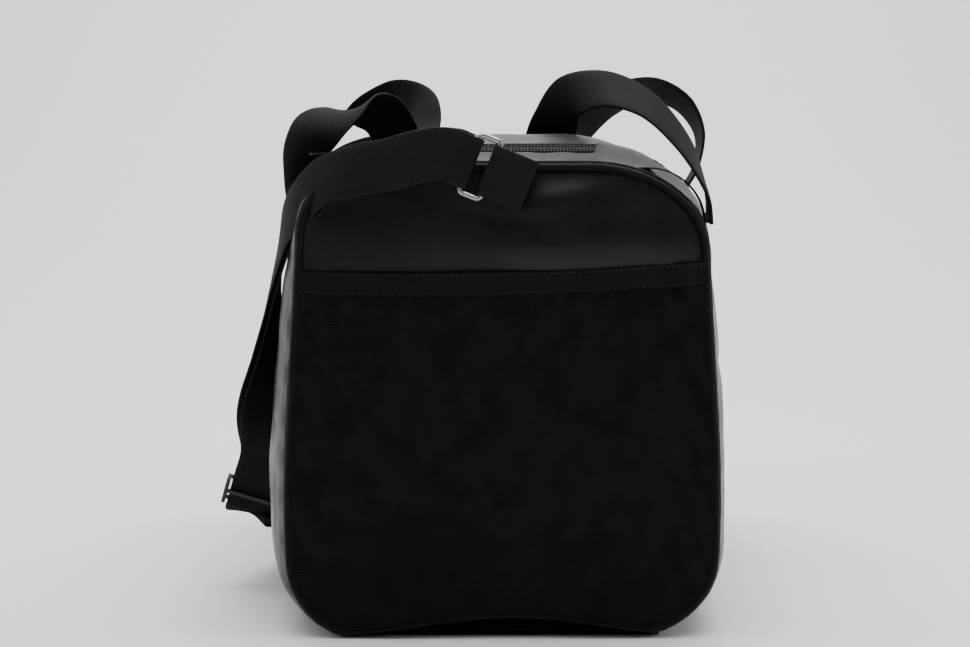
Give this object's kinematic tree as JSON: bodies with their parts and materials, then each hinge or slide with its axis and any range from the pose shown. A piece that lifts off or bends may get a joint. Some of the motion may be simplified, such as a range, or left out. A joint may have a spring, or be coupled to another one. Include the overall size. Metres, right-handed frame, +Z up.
{
  "type": "skate bag",
  "caption": "Small black coated-fabric sports bag with zipped lid, mesh end pockets, webbing carry handles and an adjustable shoulder strap.",
  "frame": {"origin": "on the floor, at the middle of the base panel's underside", "axes": "+Z up, +Y along the bag from the near end to the far end, +X to the right of someone facing the near end; the shoulder strap hangs on the -X side"},
  "size_m": [0.4129, 0.4964, 0.4193],
  "materials": {
    "coated_fabric": "satin black coated fabric with soft folds",
    "base_fabric": "matte black reinforced fabric",
    "board": "matte black sheet",
    "piping": "black coated edge",
    "binding_tape": "black woven tape",
    "mesh": "fine black mesh",
    "webbing": "black woven webbing",
    "zip_tape": "black woven tape",
    "zip_coil": "black coil",
    "zip_metal": "black painted metal",
    "ring_metal": "bright plated wire",
    "slider_plastic": "black moulded plastic"
  },
  "bodies": {
    "bag": {"body_shell": "coated_fabric", "base_panel": "base_fabric", "base_board": "board", "body_zip_tape": "zip_tape", "body_zip_coil": "zip_coil", "zip_end_stops": "zip_metal", "left_handle_patches": "webbing", "right_handle_patches": "webbing", "near_end_panel": "coated_fabric", "near_piping": "piping", "near_seam_tape": "binding_tape", "near_mesh_pocket": "mesh", "near_pocket_binding": "binding_tape", "far_end_panel": "coated_fabric", "far_piping": "piping", "far_seam_tape": "binding_tape", "far_mesh_pocket": "mesh", "far_pocket_binding": "binding_tape"},
    "lid": {"lid_panel": "coated_fabric", "lid_zip_tape": "zip_tape", "lid_zip_coil": "zip_coil"},
    "left_carry_handle": {"left_handle": "webbing"},
    "right_carry_handle": {"right_handle": "webbing"},
    "near_slider": {"near_zip_slider": "zip_metal"},
    "far_slider": {"far_zip_slider": "zip_metal"},
    "near_pull": {"near_zip_pull": "zip_metal"},
    "far_pull": {"far_zip_pull": "zip_metal"},
    "shoulder_strap": {"strap_near_run": "webbing", "strap_return_run": "webbing", "strap_far_run": "webbing", "strap_three_bar_slider": "slider_plastic", "near_strap_ring": "ring_metal", "near_strap_tab": "webbing", "near_strap_loop": "webbing", "far_strap_ring": "ring_metal", "far_strap_tab": "webbing", "far_strap_loop": "webbing"}
  },
  "joints": [
    {"name": "lid_hinge", "type": "hinge", "parent": "bag", "child": "lid", "pos_m": [-0.1, 0, 0.348], "axis": [0, -1, 0], "range_deg": [0, 70]},
    {"name": "right_handle_fold", "type": "hinge", "parent": "bag", "child": "right_carry_handle", "pos_m": [0.1671, 0, 0.3], "axis": [0, 1, 0], "range_deg": [0, 161.01]},
    {"name": "left_handle_fold", "type": "hinge", "parent": "bag", "child": "left_carry_handle", "pos_m": [-0.1671, 0, 0.3], "axis": [0, -1, 0], "range_deg": [0, 70.01]},
    {"name": "near_slider_run", "type": "slide", "parent": "bag", "child": "near_slider", "axis": [-1, 0, 0], "range_m": [-0.18, 0]},
    {"name": "far_slider_run", "type": "slide", "parent": "bag", "child": "far_slider", "axis": [-1, 0, 0], "range_m": [-0.18, 0]},
    {"name": "near_pull_swing", "type": "hinge", "parent": "near_slider", "child": "near_pull", "pos_m": [-0.111, -0.2, 0.3548], "axis": [0, -1, 0], "range_deg": [-170, 0]},
    {"name": "far_pull_swing", "type": "hinge", "parent": "far_slider", "child": "far_pull", "pos_m": [-0.111, 0.2, 0.3548], "axis": [0, -1, 0], "range_deg": [-170, 0]},
    {"name": "strap_swing", "type": "hinge", "parent": "bag", "child": "shoulder_strap", "pos_m": [0.012, 0, 0.338], "axis": [0, -1, 0], "range_deg": [-120, 0]}
  ],
  "couplings": [
    {"joint": "right_handle_fold", "follows": "lid_hinge", "ratio": 2.3},
    {"joint": "left_handle_fold", "follows": "lid_hinge", "ratio": 1}
  ]
}
